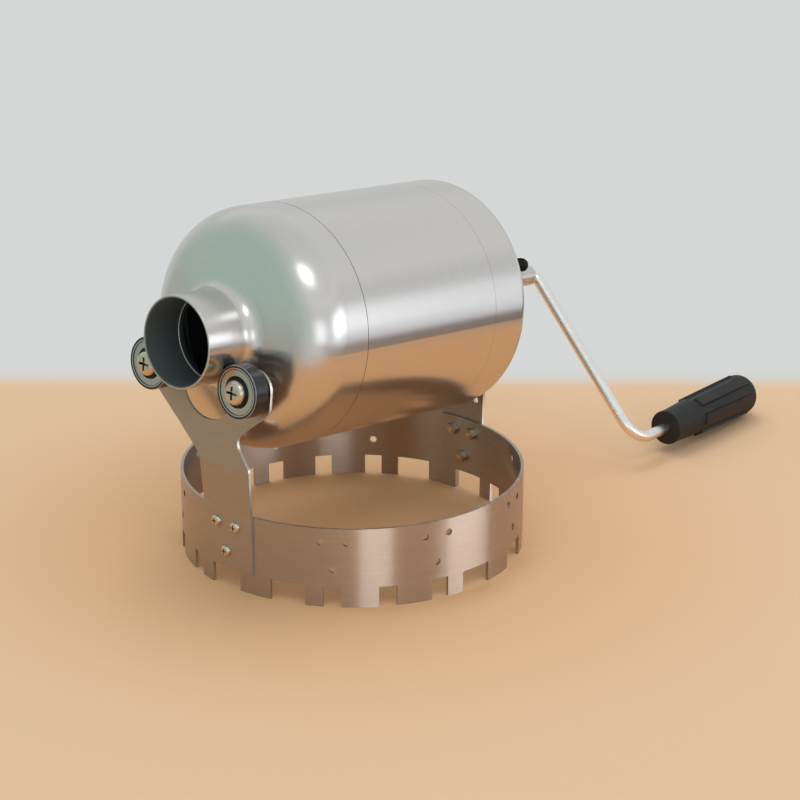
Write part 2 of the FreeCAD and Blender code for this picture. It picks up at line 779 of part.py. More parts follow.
def drum_shell():
    """The rolled wall, joggled inwards at its front so that it plugs into the dome."""
    gauge, drum = S["drum_gauge"], S["drum_radius"]
    plug = drum - gauge - S["seat_gap"]
    start = front_seam + S["seam_gap"]
    tip = front_seam - S["joggle_length"]
    return revolved("drum_shell", [
        (plug, tip), (plug, start), (drum, start), (drum, rear_seam),
        (drum - gauge, rear_seam), (drum - gauge, start + 2 * gauge),
        (plug - gauge, start + gauge), (plug - gauge, tip),
    ], DRUM)


def rear_cap():
    gauge, drum = S["drum_gauge"], S["drum_radius"]
    inside = drum_length - gauge
    return revolved("rear_cap", [
        (drum, rear_seam), (drum, drum_length, S["rear_corner"]), (S["stud_radius"], drum_length),
        (S["stud_radius"], inside), (drum - gauge, inside, S["rear_corner"] - gauge),
        (drum - gauge, rear_seam),
    ], DRUM)


def stir_vanes():
    """Angle strips along the inside of the wall, welded by their feet."""
    master = new_body("vane_master")
    gauge, foot = S["vane_gauge"], S["vane_foot"]
    wall = S["drum_radius"] - S["drum_gauge"]
    seat = root(wall * wall - foot * foot)
    drawing = Drawing(master, "vane_section")
    drawing.run([
        (seat - S["vane_height"], size(0)), (seat, size(0)), (seat, foot),
        (seat - gauge, foot), (seat - gauge, gauge, gauge), (seat - S["vane_height"], gauge),
    ])
    start = front_seam + S["vane_margin"]
    pad(master, drawing, rear_seam - S["vane_margin"] - start)
    places = []
    for k in range(VANES):
        spin = FreeCAD.Placement(FreeCAD.Vector(), FreeCAD.Rotation(Z_AXIS, 360.0 * k / VANES))
        places.append(DRUM * spin * lifted(start))
    return copies_of("stir_vanes", master, places)


# ---------------------------------------------------------------- shaft and its bush
def rear_hub():
    return revolved("rear_hub", [
        (S["stud_radius"], drum_length), (S["hub_radius"], drum_length),
        (S["hub_radius"], hub_face, S["hub_thick"] / 2), (S["stud_radius"], hub_face),
    ], DRUM)


def hub_washer():
    face = drum_length - S["drum_gauge"]
    return revolved("hub_washer", [
        (S["stud_radius"], face - S["washer_thick"]), (S["washer_radius"], face - S["washer_thick"]),
        (S["washer_radius"], face), (S["stud_radius"], face),
    ], DRUM)


def hub_nut():
    seat = drum_length - S["drum_gauge"] - S["washer_thick"] - S["nut_thick"]
    nut = hex_nut("hub_nut", S["nut_flats"], S["stud_radius"], S["nut_thick"])
    nut.Placement = in_drum(0, 0, seat)
    return nut


def drum_shaft():
    stud = S["stud_radius"] - S["seat_gap"] / 2
    bore = S["rod_radius"] + S["seat_gap"] / 2
    shoulder = hub_face
    tip = drum_length - S["drum_gauge"] - S["washer_thick"] - S["nut_thick"] - S["stud_overrun"]
    floor = shaft_end - S["rod_grip_depth"]
    zero = size(0)
    body = revolved("drum_shaft", [
        (zero, tip), (stud, tip), (stud, shoulder), (S["shaft_radius"], shoulder),
        (S["shaft_radius"], shaft_end, S["shaft_edge"]), (bore, shaft_end), (bore, floor),
        (zero, floor),
    ], DRUM)
    tapped = Drawing(body, "clamp_hole", "XZ_Plane")
    tapped.circle((zero, shaft_end - S["clamp_place"]), S["clamp_radius"])
    pocket(body, tapped, S["shaft_radius"] + S["cut_margin"], True, "ClampHole")
    return body


def clamp_screw():
    """The black socket screw that clamps the crank's rod in the end of the shaft."""
    zero, seat, head = size(0), S["shaft_radius"], S["clamp_head_radius"]
    top = seat + S["clamp_head_height"]
    axis = in_drum(0, 0, shaft_end - S["clamp_place"])
    upward = FreeCAD.Placement(FreeCAD.Vector(), FreeCAD.Rotation(X_AXIS, 90))
    body = revolved("clamp_screw", [
        (zero, S["rod_radius"]), (S["clamp_radius"] - S["seat_gap"], S["rod_radius"]),
        (S["clamp_radius"] - S["seat_gap"], seat), (head, seat), (head, top, S["clamp_head_round"]),
        (zero, top),
    ], axis * upward)
    socket = Drawing(body, "clamp_socket", offset=lifted(top))
    reach = S["clamp_head_radius"] * RECESS_REACH
    socket.run([(reach * cosine(size(60 * k)), reach * sine(size(60 * k))) for k in range(6)])
    pocket(body, socket, S["clamp_head_height"] / 2, False, "Socket")
    return body


def shaft_bush():
    """A grooved bush that turns freely on the shaft and sits in the rear upright's slot."""
    bore = S["shaft_radius"] + S["turn_gap"]
    near = rear_plate - S["slide_gap"]
    far = rear_plate + S["stand_gauge"] + S["slide_gap"]
    flange, thick = S["bush_flange"], S["bush_flange_thick"]
    return revolved("shaft_bush", [
        (bore, near - thick), (flange, near - thick, thick / 3), (flange, near), (S["bush_radius"], near),
        (S["bush_radius"], far), (flange, far), (flange, far + thick, thick / 3), (bore, far + thick),
    ], DRUM)


# ---------------------------------------------------------------- crank and grip
PANELS = 6
arm_length = root(S["crank_radius"] * S["crank_radius"] + S["crank_slant"] * S["crank_slant"])
bend_reach = S["shaft_bend"] * (arm_length - S["crank_slant"]) / S["crank_radius"]
crank_start = shaft_end + S["crank_lead"] + bend_reach
elbow_z = crank_start + S["crank_slant"]
GRIP = CRANK * FreeCAD.Placement(
    FreeCAD.Vector(S["crank_radius"].value, 0, elbow_z.value),
    FreeCAD.Rotation(Y_AXIS, -S["crank_inset"].value),
)
grip_end = S["grip_start"] + S["grip_length"]
well_floor = grip_end - S["well_depth"]
rod_nut_top = well_floor + S["slide_gap"] + S["thin_nut_thick"]
rod_tip = rod_nut_top + S["stud_overrun"]


def crank_rod():
    """One round rod, bent twice, from the shaft's end into the grip."""
    body = new_body("crank_rod")
    floor = shaft_end - S["rod_grip_depth"]
    tip_radius = S["crank_radius"] - rod_tip * sine(S["crank_inset"])
    path = Drawing(body, "rod_path", "XZ_Plane")
    path.run([
        (size(0), floor), (size(0), crank_start, S["shaft_bend"]),
        (S["crank_radius"], elbow_z, S["elbow_bend"]),
        (tip_radius, elbow_z + rod_tip * cosine(S["crank_inset"])),
    ], closed=False)
    ring = Drawing(body, "rod_section", offset=lifted(floor))
    ring.circle((size(0), size(0)), S["rod_radius"])
    pipe = body.newObject("PartDesign::AdditivePipe", "Rod")
    pipe.Profile = ring.sketch
    pipe.Spine = (path.sketch, [])
    settle(body, pipe)
    body.Placement = CRANK
    return body


def rod_nut():
    """The nut on the rod's end that keeps the grip on."""
    nut = hex_nut("rod_nut", S["thin_nut_flats"], S["rod_radius"], S["thin_nut_thick"])
    nut.Placement = in_drum(0, 0, well_floor + S["slide_gap"], GRIP)
    return nut


def crank_grip():
    """The turning grip: a rim, a tapered barrel with raised panels and a swollen, domed end."""
    bore = S["rod_radius"] + S["turn_gap"]
    near, middle, far = S["grip_near_radius"], S["grip_middle_radius"], S["grip_far_radius"]
    knob = S["grip_knob_radius"]
    rim_end = S["grip_start"] + S["grip_rim_width"]
    start = S["grip_start"] + S["panel_start"]
    end = S["grip_start"] + S["panel_end"]
    body = revolved("crank_grip", [
        (bore, S["grip_start"]), (S["grip_rim_radius"], S["grip_start"], S["shaft_edge"]),
        (S["grip_rim_radius"], rim_end), (near, rim_end), (middle, start), (far, end - S["grip_knob_round"]),
        (knob, end), (knob, grip_end - S["grip_dome"], S["grip_knob_round"]),
        (S["well_radius"], grip_end - S["cap_crown"]), (S["well_radius"], well_floor), (bore, well_floor),
    ], FreeCAD.Placement())
    core = S["well_radius"] + S["edge_round"]
    place = FreeCAD.Placement(FreeCAD.Vector(0, 0, -S["panel_width"].value / 2), FreeCAD.Rotation())
    panel = Drawing(body, "panel_side", "XZ_Plane", place)
    panel.run([
        (core, start), (middle + S["panel_rise"], start, S["panel_near_round"]),
        (far + S["panel_rise"], end, S["panel_far_round"]), (core, end),
    ])
    block = pad(body, panel, S["panel_width"], "Panel")
    around(body, [block], PANELS, name="Panels")
    turn = FreeCAD.Rotation(Z_AXIS, S["panel_turn"].value)
    body.Placement = GRIP * FreeCAD.Placement(FreeCAD.Vector(), turn)
    return body


def grip_cap():
    """The plug that closes the nut's well and finishes the grip's dome."""
    zero, plug = size(0), S["well_radius"] - S["seat_gap"]
    foot = rod_tip + S["slide_gap"]
    return revolved("grip_cap", [
        (zero, foot), (plug, foot), (plug, grip_end - S["cap_crown"]),
        (plug / 2, grip_end, plug), (zero, grip_end),
    ], GRIP)


# ---------------------------------------------------------------- build, check and write
PARTS = [stand_frame(), ring_band()]
PARTS += foot_fasteners()
PARTS += roller_parts()
PARTS += [neck_tube(), front_dome(), drum_shell(), rear_cap(), stir_vanes()]
PARTS += [rear_hub(), hub_washer(), hub_nut(), drum_shaft(), clamp_screw(), shaft_bush()]
PARTS += [crank_rod(), rod_nut(), crank_grip(), grip_cap()]

doc.recompute()
for thing in doc.Objects:
    if "Invalid" in thing.State or "Error" in thing.State:
        raise RuntimeError("%s failed: %s" % (thing.Name, thing.getStatusString()))
for part in PARTS:
    if part.Shape.isNull() or not part.Shape.isValid():
        raise RuntimeError("%s has no valid shape" % part.Label)

os.makedirs("parts", exist_ok=True)
for part in PARTS:
    part.Shape.exportStep("parts/%s.step" % part.Label)
print("%d nodes written" % len(PARTS))
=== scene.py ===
import json
import math

import bmesh
import bpy
from mathutils import Matrix, Vector


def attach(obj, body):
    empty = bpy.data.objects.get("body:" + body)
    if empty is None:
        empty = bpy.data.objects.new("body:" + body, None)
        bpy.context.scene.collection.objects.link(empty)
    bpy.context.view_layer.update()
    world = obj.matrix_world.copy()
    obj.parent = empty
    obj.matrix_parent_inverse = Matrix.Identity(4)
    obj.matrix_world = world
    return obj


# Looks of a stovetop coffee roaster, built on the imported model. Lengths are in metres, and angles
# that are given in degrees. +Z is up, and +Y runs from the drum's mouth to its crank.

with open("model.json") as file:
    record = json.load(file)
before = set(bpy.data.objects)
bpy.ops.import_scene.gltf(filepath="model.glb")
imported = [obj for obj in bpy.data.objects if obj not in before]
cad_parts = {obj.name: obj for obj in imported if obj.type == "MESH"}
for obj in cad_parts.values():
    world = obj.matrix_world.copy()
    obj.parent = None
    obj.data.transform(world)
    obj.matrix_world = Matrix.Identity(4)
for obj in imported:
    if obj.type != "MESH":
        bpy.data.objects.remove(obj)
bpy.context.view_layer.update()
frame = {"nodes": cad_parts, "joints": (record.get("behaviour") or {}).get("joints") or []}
NODES = frame["nodes"]
JOINTS = {joint["name"]: joint for joint in frame["joints"]}
MM = 0.001
X_AXIS, Z_AXIS = Vector((1, 0, 0)), Vector((0, 0, 1))


# ---------------------------------------------------------------- axles
class Axle:
    """An axis with its own frame: right and down are square to it, and stations count along it."""

    def __init__(self, point, axis):
        self.point, self.axis = Vector(point), Vector(axis).normalized()
        self.right = (X_AXIS - self.axis * X_AXIS.dot(self.axis)).normalized()
        self.down = self.axis.cross(self.right)

    def station(self, place):
        return (Vector(place) - self.point).dot(self.axis)

    def radius(self, place):
        offset = Vector(place) - self.point
        return (offset - self.axis * offset.dot(self.axis)).length

    def ring_point(self, radius, turn, station):
        """A point from its radius, its turn round the axis in radians, and its station."""
        side = self.right * math.cos(turn) + self.down * math.sin(turn)
        return self.point + side * radius + self.axis * station

    def span(self, node):
        """The first and last station of a CAD node, and its smallest and largest radius."""
        places = [vertex.co for vertex in NODES[node].data.vertices]
        stations = [self.station(place) for place in places]
        radii = [self.radius(place) for place in places]
        return min(stations), max(stations), min(radii), max(radii)

    def started_at(self, node):
        """The same axle, with its stations counted from where a node starts."""
        self.point = self.point + self.axis * self.span(node)[0]
        return self


def joint_axle(joint):
    return Axle(JOINTS[joint]["pos_m"], JOINTS[joint]["axis"])


DRUM = joint_axle("drum_spin").started_at("neck_tube")
SIDES = ("left", "right")
ROLLERS = {
    side: joint_axle("roller_%s_spin" % side).started_at("roller_%s_ring" % side) for side in SIDES
}
REAR_SEAM = DRUM.span("rear_cap")[0]


# ---------------------------------------------------------------- node trees
# the sockets of a Mix node that mix colours
MIX_SHARE, MIX_FIRST, MIX_SECOND, MIX_RESULT = 0, 6, 7, 2
# how many spacings long the fine and the coarse brush marks are
MARK_LENGTHS = (40, 25)
# the middle part of noise that is spread over the colours of brush marks, over the colours of
# mottling, and over gloss
MARK_RANGE, MOTTLE_RANGE, GLOSS_RANGE = (0.25, 0.75), (0.3, 0.7), (0.2, 0.8)
# how far the roughness of small parts goes below and above its middle
GLOSS_BELOW, GLOSS_ABOVE = 0.05, 0.08


class Nodes:
    """Short calls that add nodes to a tree and hand back their outputs."""

    def __init__(self, tree):
        self.tree = tree

    def feed(self, socket, value):
        """Gives a socket a value, or links another node's output to it."""
        if isinstance(value, bpy.types.NodeSocket):
            self.tree.links.new(value, socket)
        elif socket.type == "RGBA":
            socket.default_value = (*value, 1.0)
        else:
            socket.default_value = value

    def node(self, kind, inputs, **settings):
        """The outputs of a new node, with its settings and its inputs, by name or number."""
        node = self.tree.nodes.new(kind)
        for name, value in settings.items():
            setattr(node, name, value)
        for socket, value in inputs.items():
            self.feed(node.inputs[socket], value)
        return node.outputs

    def math(self, operation, first, second=0.0):
        return self.node("ShaderNodeMath", {0: first, 1: second}, operation=operation)[0]

    def add(self, first, second):
        return self.math("ADD", first, second)

    def times(self, first, second):
        return self.math("MULTIPLY", first, second)

    def vector(self, operation, first, second=(0.0, 0.0, 0.0), output="Vector"):
        return self.node("ShaderNodeVectorMath", {0: first, 1: second}, operation=operation)[output]

    def dot(self, first, second):
        return self.vector("DOT_PRODUCT", first, second, "Value")

    def cross(self, first, second):
        return self.vector("CROSS_PRODUCT", first, second)

    def joined(self, x, y, z):
        return self.node("ShaderNodeCombineXYZ", {0: x, 1: y, 2: z})[0]

    def parts(self, vector):
        return self.node("ShaderNodeSeparateXYZ", {0: vector})

    def noise(self, where, scale, detail=2.0, roughness=0.5):
        inputs = {"Vector": where, "Scale": scale, "Detail": detail, "Roughness": roughness}
        return self.node("ShaderNodeTexNoise", inputs)["Fac"]

    def remap(self, value, low, high, to_low=0.0, to_high=1.0):
        """value from low..high to to_low..to_high, with soft ends."""
        inputs = {"Value": value, "From Min": low, "From Max": high, "To Min": to_low, "To Max": to_high}
        return self.node("ShaderNodeMapRange", inputs, interpolation_type="SMOOTHSTEP")["Result"]

    def length(self, first, second):
        """The length of two sides that are square to each other, taken together."""
        return self.math("SQRT", self.add(self.times(first, first), self.times(second, second)))

    def band(self, value, low, high, soft):
        """1 where value lies between low and high, with soft sides."""
        rise = self.remap(value, low - soft, low + soft)
        return self.times(rise, self.remap(value, high - soft, high + soft, 1.0, 0.0))

    def weighed(self, values, shares):
        """The sum of two values, each times its share."""
        first, second = (self.times(value, share) for value, share in zip(values, shares))
        return self.add(first, second)

    def mix(self, share, first, second):
        """first where share is 0, and second where it is 1."""
        inputs = {MIX_SHARE: share, MIX_FIRST: first, MIX_SECOND: second}
        return self.node("ShaderNodeMix", inputs, data_type="RGBA")[MIX_RESULT]


class Shader(Nodes):
    """A Principled material, in the rest frame's own coordinates. The colour, roughness and metallic
    that it starts with are what a viewer without procedural nodes shows."""

    def __init__(self, name, colour, roughness, metallic=1.0):
        self.material = bpy.data.materials.new(name)
        self.material.use_nodes = True
        super().__init__(self.material.node_tree)
        self.surface = self.tree.nodes["Principled BSDF"].inputs
        self.set("Base Color", colour)
        self.set("Roughness", roughness)
        self.set("Metallic", metallic)
        coordinates = self.node("ShaderNodeTexCoord", {})
        self.place, self.normal = coordinates["Object"], coordinates["Normal"]

    def set(self, socket, value):
        self.feed(self.surface[socket], value)

    def offset(self, axle):
        return self.vector("SUBTRACT", self.place, axle.point)

    def local(self, axle):
        """The place in an axle's frame: right, down and along."""
        offset = self.offset(axle)
        return [self.dot(offset, side) for side in (axle.right, axle.down, axle.axis)]

    def round_axle(self, axle):
        """The direction round an axle."""
        return self.cross(axle.axis, self.offset(axle))

    def outward(self, axle):
        """The direction away from an axle, one unit long."""
        return self.vector("NORMALIZE", self.cross(self.round_axle(axle), axle.axis))

    def stretch(self, direction, amount):
        """Draws highlights out along a direction, square to the grain of brushed metal."""
        turned = self.node("ShaderNodeVectorTransform", {0: direction}, vector_type="VECTOR",
                           convert_from="OBJECT", convert_to="WORLD")
        self.set("Tangent", turned[0])
        self.set("Anisotropic", amount)

    def grain(self, across, first, second, spacings):
        """Brush marks: noise drawn out square to across, at a fine and a coarse spacing."""
        marks = []
        for spacing, lengths in zip(spacings, MARK_LENGTHS):
            length = lengths * spacing
            where = self.joined(self.times(first, 1 / length), self.times(second, 1 / length),
                                self.times(across, 1 / spacing))
            marks.append(self.noise(where, scale=1.0, detail=3.0, roughness=0.6))
        return marks

    def bump(self, height, depth):
        self.set("Normal", self.node("ShaderNodeBump", {"Height": height, "Distance": depth})["Normal"])

    def vary(self, low, high, share):
        """A colour between low and high."""
        self.set("Base Color", self.mix(share, low, high))

    def gloss(self, share, roughness):
        """A roughness that varies a little round its middle."""
        low, high = roughness - GLOSS_BELOW, roughness + GLOSS_ABOVE
        self.set("Roughness", self.remap(share, *GLOSS_RANGE, low, high))

    def openness(self, reach):
        """1 on open faces, falling in corners and recesses narrower than reach."""
        shade = self.node("ShaderNodeAmbientOcclusion", {"Distance": reach}, samples=8, only_local=True)
        return shade["AO"]


# ---------------------------------------------------------------- brushed steel
STEEL_DARK, STEEL_LIGHT = (0.695, 0.682, 0.665), (0.73, 0.717, 0.70)
# the darker, bluish grey tone of the drum's inner side, with its metallic and roughness
INNER_DARK, INNER_METALLIC, INNER_ROUGHNESS = (0.20, 0.235, 0.245), 0.6, 0.34
# the sheet's colours are tinted warm so that it mirrors the warm floor more deeply: a painted reflection
STAND_DARK, STAND_LIGHT, STAND_ROUGHNESS = (0.45, 0.385, 0.33), (0.52, 0.455, 0.40), 0.3
CUT_EDGE = (0.47, 0.44, 0.405)

# the spacings of the fine and the coarse marks, and their shares
DRUM_GRAIN, DRUM_SHARES = (0.3 * MM, 1.6 * MM), (0.7, 0.3)
SHEET_GRAIN, SHEET_SHARES = (0.3 * MM, 1.8 * MM), (0.65, 0.35)
# how deep the fine marks are, and how far brushing draws highlights out, from 0 to 1
DRUM_RELIEF, DRUM_STRETCH = 0.0012 * MM, 0.55
SHEET_RELIEF, SHEET_STRETCH = 0.003 * MM, 1.0
# what the marks and the wear add to the roughness, and the sheet's roughness without its marks
DRUM_MARKS_ROUGHEN, DRUM_WEAR_ROUGHENS, SHEET_MARKS_ROUGHEN = 0.03, 0.02, 0.05
SHEET_LEAST_ROUGHNESS = 0.28

# the dark line of the rear seam: half its width, its soft sides, and how dark it is from 0 to 1
SEAM_HALF, SEAM_SOFT, SEAM_SHADE = 0.16 * MM, 0.05 * MM, 0.45
# how far a surface turns either way while the drum's outside fades into its inside
SIDE_SOFT = 0.12
# the part of noise that is spread over the sheet's clouds, and how dark they get
SHEET_CLOUDS, CLOUD_SHADE = (0.45, 0.75), 0.3
# sheet that faces out less than the first is a cut edge, and more than the second a face
FACE_RANGE = (0.35, 0.75)


def drum_steel(name, lean, roughness, end_side=0.0):
    """Spun stainless with its grain round the axis, darker and bluish grey on its inner side. The marks
    follow the station plus lean times the radius. end_side is 1 for a piece with an end wall, whose
    outside faces along the axis, and 0 for one without."""
    steel = Shader(name, STEEL_LIGHT, roughness)
    right, down, along = steel.local(DRUM)
    profile = steel.add(along, steel.times(steel.length(right, down), lean))
    fine, coarse = steel.grain(profile, right, down, DRUM_GRAIN)
    marks = steel.weighed((fine, coarse), DRUM_SHARES)
    outer_or_open = steel.mix(steel.remap(marks, *MARK_RANGE), STEEL_DARK, STEEL_LIGHT)
    seam = steel.band(along, REAR_SEAM - SEAM_HALF, REAR_SEAM + SEAM_HALF, SEAM_SOFT)
    outer_or_open = steel.mix(steel.times(seam, SEAM_SHADE), outer_or_open, INNER_DARK)

    facing = steel.dot(steel.normal, steel.outward(DRUM))
    if end_side:
        facing = steel.add(facing, steel.times(steel.dot(steel.normal, DRUM.axis), end_side))
    outside = steel.remap(facing, -SIDE_SOFT, SIDE_SOFT)
    steel.vary(INNER_DARK, outer_or_open, outside)
    steel.set("Metallic", steel.remap(outside, 0.0, 1.0, INNER_METALLIC, 1.0))

    smooth = steel.add(steel.times(marks, DRUM_MARKS_ROUGHEN), roughness - DRUM_MARKS_ROUGHEN / 2)
    wear = steel.noise(steel.place, scale=18.0, detail=2.0)
    worn = steel.add(smooth, steel.times(wear, DRUM_WEAR_ROUGHENS))
    steel.set("Roughness", steel.remap(outside, 0.0, 1.0, INNER_ROUGHNESS, worn))
    steel.stretch(steel.cross(steel.round_axle(DRUM), steel.normal), DRUM_STRETCH)
    steel.bump(fine, DRUM_RELIEF)
    return steel.material


def stand_steel():
    """Rolled sheet, brushed along the strip, with greyer cut edges."""
    steel = Shader("stand_steel_brushed", STAND_LIGHT, STAND_ROUGHNESS)
    x, y, z = steel.parts(steel.place)
    fine, coarse = steel.grain(z, x, y, SHEET_GRAIN)
    marks = steel.weighed((fine, coarse), SHEET_SHARES)
    sheet = steel.mix(steel.remap(marks, *MARK_RANGE), STAND_DARK, STAND_LIGHT)
    cloud = steel.noise(steel.place, scale=26.0, detail=3.0)
    sheet = steel.mix(steel.remap(cloud, *SHEET_CLOUDS, 0.0, CLOUD_SHADE), sheet, STAND_DARK)

    round_ring = steel.vector("NORMALIZE", steel.joined(x, y, 0.0))
    band = steel.math("ABSOLUTE", steel.dot(steel.normal, round_ring))
    plate = steel.math("ABSOLUTE", steel.dot(steel.normal, DRUM.axis))
    edge = steel.remap(steel.math("MAXIMUM", band, plate), *FACE_RANGE, 1.0, 0.0)
    steel.vary(sheet, CUT_EDGE, edge)
    steel.set("Roughness", steel.add(steel.times(marks, SHEET_MARKS_ROUGHEN), SHEET_LEAST_ROUGHNESS))
    steel.stretch(tuple(Z_AXIS), SHEET_STRETCH)
    steel.bump(fine, SHEET_RELIEF)
    return steel.material


# ---------------------------------------------------------------- small parts
ZINC_DARK, ZINC_LIGHT, ZINC_ROUGHNESS = (0.62, 0.58, 0.48), (0.74, 0.70, 0.59), 0.26
ZINC_RELIEF = 0.002 * MM
# painted shade: a dark colour, and its roughness, for the screws' recesses and corners
RECESS_SHADE, RECESS_SHADE_ROUGHNESS = (0.05, 0.035, 0.02), 0.6
RECESS_REACH, OPEN_RANGE = 1.6 * MM, (0.35, 0.8)     # the openness from full painted shade to none
TURNED_GRAIN, TURNED_RELIEF = (0.15 * MM, 0.8 * MM), 0.0012 * MM
SHIELD_DARK, SHIELD_LIGHT = (0.46, 0.47, 0.45), (0.60, 0.61, 0.59)

BEARING_BLACK, BEARING_ROUGHNESS = (0.02, 0.021, 0.024), 0.2
BEARING_DARK, BEARING_LIGHT = (0.012, 0.013, 0.015), (0.028, 0.030, 0.035)
BEARING_GLOSS = (0.14, 0.24)
# bare steel on a bearing ring: how far inside its rim the lip starts and ends, with its soft sides,
# where the chamfers fade in, how squarely each faces along the axle, and the chamfers' soft sides
LIP_START, LIP_END, LIP_SOFT = 1.85 * MM, 1.35 * MM, 0.08 * MM
CHAMFER_START, CHAMFER_FULL = 0.8 * MM, 0.7 * MM
LIP_FACING, CHAMFER_FACING, CHAMFER_SOFT = (0.8, 0.95), (0.4, 0.93), 0.05
CHAMFER_SHINE = 0.6                    # how bare a chamfer is next to the lip

PLASTIC_BLACK, PLASTIC_ROUGHNESS, PLASTIC_SPECULAR = (0.010, 0.010, 0.011), 0.46, 0.35
PLASTIC_DARK, PLASTIC_LIGHT = (0.008, 0.008, 0.009), (0.018, 0.018, 0.019)
PLASTIC_GLOSS, PORE_DEPTH = (0.4, 0.54), 0.02 * MM


def plain_metal(name, low, high, roughness, spacing=0.8 * MM, depth=0.004 * MM):
    """Small metal parts: soft mottling in colour, gloss and height."""
    metal = Shader(name, high, roughness)
    mottle = metal.noise(metal.place, scale=1 / spacing, detail=3.0, roughness=0.6)
    metal.vary(low, high, metal.remap(mottle, *MOTTLE_RANGE))
    metal.gloss(mottle, roughness)
    metal.bump(mottle, depth)
    return metal.material


def turned_metal(name, axle, low, high, roughness):
    """Lathe-turned parts: fine rings round an axle."""
    metal = Shader(name, high, roughness)
    right, down, along = metal.local(axle)
    profile = metal.add(along, metal.length(right, down))
    fine, coarse = metal.grain(profile, right, down, TURNED_GRAIN)
    metal.vary(low, high, metal.remap(coarse, *MOTTLE_RANGE))
    metal.gloss(fine, roughness)
    metal.bump(fine, TURNED_RELIEF)
    return metal.material


def screw_zinc():
    """Zinc-plated screws, with shade painted dark into their recesses and corners."""
    zinc = Shader("zinc_plate", ZINC_LIGHT, ZINC_ROUGHNESS)
    mottle = zinc.noise(zinc.place, scale=700.0, detail=3.0, roughness=0.6)
    plate = zinc.mix(zinc.remap(mottle, *MOTTLE_RANGE), ZINC_DARK, ZINC_LIGHT)
    # painted shade: the zinc darkens where corners and recesses shut out light
    outer_or_open = zinc.remap(zinc.openness(RECESS_REACH), *OPEN_RANGE)
    zinc.vary(RECESS_SHADE, plate, outer_or_open)
    zinc.set("Roughness", zinc.remap(outer_or_open, 0.0, 1.0, RECESS_SHADE_ROUGHNESS, ZINC_ROUGHNESS))
    zinc.bump(mottle, ZINC_RELIEF)
    return zinc.material


def black_ring(side):
    """A black-finished bearing ring: bare steel on its chamfers and on the lip round its shields."""
    axle = ROLLERS[side]
    rim = axle.span("roller_%s_ring" % side)[3]
    ring = Shader("bearing_black_" + side, BEARING_BLACK, BEARING_ROUGHNESS, metallic=0.0)
    right, down, _ = ring.local(axle)
    radius = ring.length(right, down)
    facing = ring.math("ABSOLUTE", ring.dot(ring.normal, axle.axis))
    lip = ring.times(ring.band(radius, rim - LIP_START, rim - LIP_END, LIP_SOFT),
                     ring.remap(facing, *LIP_FACING))
    chamfer = ring.times(ring.band(facing, *CHAMFER_FACING, CHAMFER_SOFT),
                         ring.remap(radius, rim - CHAMFER_START, rim - CHAMFER_FULL))
    bare = ring.math("MAXIMUM", lip, ring.times(chamfer, CHAMFER_SHINE))
    mottle = ring.noise(ring.place, scale=900.0, detail=3.0)
    ring.set("Metallic", bare)
    ring.vary(ring.mix(mottle, BEARING_DARK, BEARING_LIGHT), SHIELD_LIGHT, bare)
    ring.set("Roughness", ring.remap(mottle, *GLOSS_RANGE, *BEARING_GLOSS))
    return ring.material


def grip_plastic():
    """Black moulded plastic with a fine satin texture."""
    plastic = Shader("grip_plastic_black", PLASTIC_BLACK, PLASTIC_ROUGHNESS, metallic=0.0)
    plastic.set("Specular IOR Level", PLASTIC_SPECULAR)
    rubbed = plastic.noise(plastic.place, scale=70.0, detail=3.0)
    plastic.vary(PLASTIC_DARK, PLASTIC_LIGHT, rubbed)
    plastic.set("Roughness", plastic.remap(rubbed, *MOTTLE_RANGE, *PLASTIC_GLOSS))
    plastic.bump(plastic.noise(plastic.place, scale=2600.0, detail=2.0), PORE_DEPTH)
    return plastic.material


# ---------------------------------------------------------------- the finish of every CAD node
ZINC, PLASTIC, STAND = screw_zinc(), grip_plastic(), stand_steel()
BLACK_OXIDE = plain_metal("black_oxide", (0.012, 0.012, 0.013), (0.03, 0.03, 0.032), 0.35)
DULL_NUT = plain_metal("dull_zinc", (0.42, 0.38, 0.34), (0.52, 0.48, 0.44), 0.38)
ROD = plain_metal("drawn_rod", (0.88, 0.88, 0.87), (0.93, 0.93, 0.92), 0.27,
                  spacing=6 * MM, depth=0.0005 * MM)
BALL_STEEL = plain_metal("ball_steel", (0.7, 0.7, 0.7), (0.8, 0.8, 0.8), 0.08)
MILL_STEEL = plain_metal("mill_steel", (0.20, 0.19, 0.18), (0.33, 0.32, 0.30), 0.42, spacing=3 * MM)
BRONZE = plain_metal("sintered_bronze", (0.42, 0.30, 0.15), (0.58, 0.43, 0.24), 0.4, spacing=0.5 * MM)
TURNED = turned_metal("turned_steel", DRUM, (0.56, 0.55, 0.53), (0.72, 0.71, 0.69), 0.24)
SLEEVE = plain_metal("sleeve_steel", (0.45, 0.44, 0.42), (0.6, 0.59, 0.57), 0.35)
INNER_RACE = plain_metal("inner_race_black", (0.02, 0.021, 0.023), (0.045, 0.047, 0.05), 0.3)

FINISH = {
    "stand_frame": STAND, "ring_band": STAND,
    "neck_tube": drum_steel("neck_steel", 0.0, 0.24),
    "front_dome": drum_steel("dome_steel", 1.0, 0.25),
    "drum_shell": drum_steel("shell_steel", 0.0, 0.23),
    "rear_cap": drum_steel("cap_steel", -1.0, 0.23, end_side=1.0),
    "stir_vanes": MILL_STEEL, "hub_washer": DULL_NUT, "hub_nut": DULL_NUT,
    "rear_hub": TURNED, "drum_shaft": TURNED, "shaft_bush": BRONZE,
    "front_foot_screws": ZINC, "rear_foot_screws": ZINC, "roller_bolts": ZINC,
    "front_foot_nuts": DULL_NUT, "rear_foot_nuts": DULL_NUT, "roller_nuts": DULL_NUT, "rod_nut": DULL_NUT,
    "roller_spacers": SLEEVE, "roller_inner_rings": INNER_RACE,
    "crank_rod": ROD, "clamp_screw": BLACK_OXIDE, "crank_grip": PLASTIC, "grip_cap": PLASTIC,
}
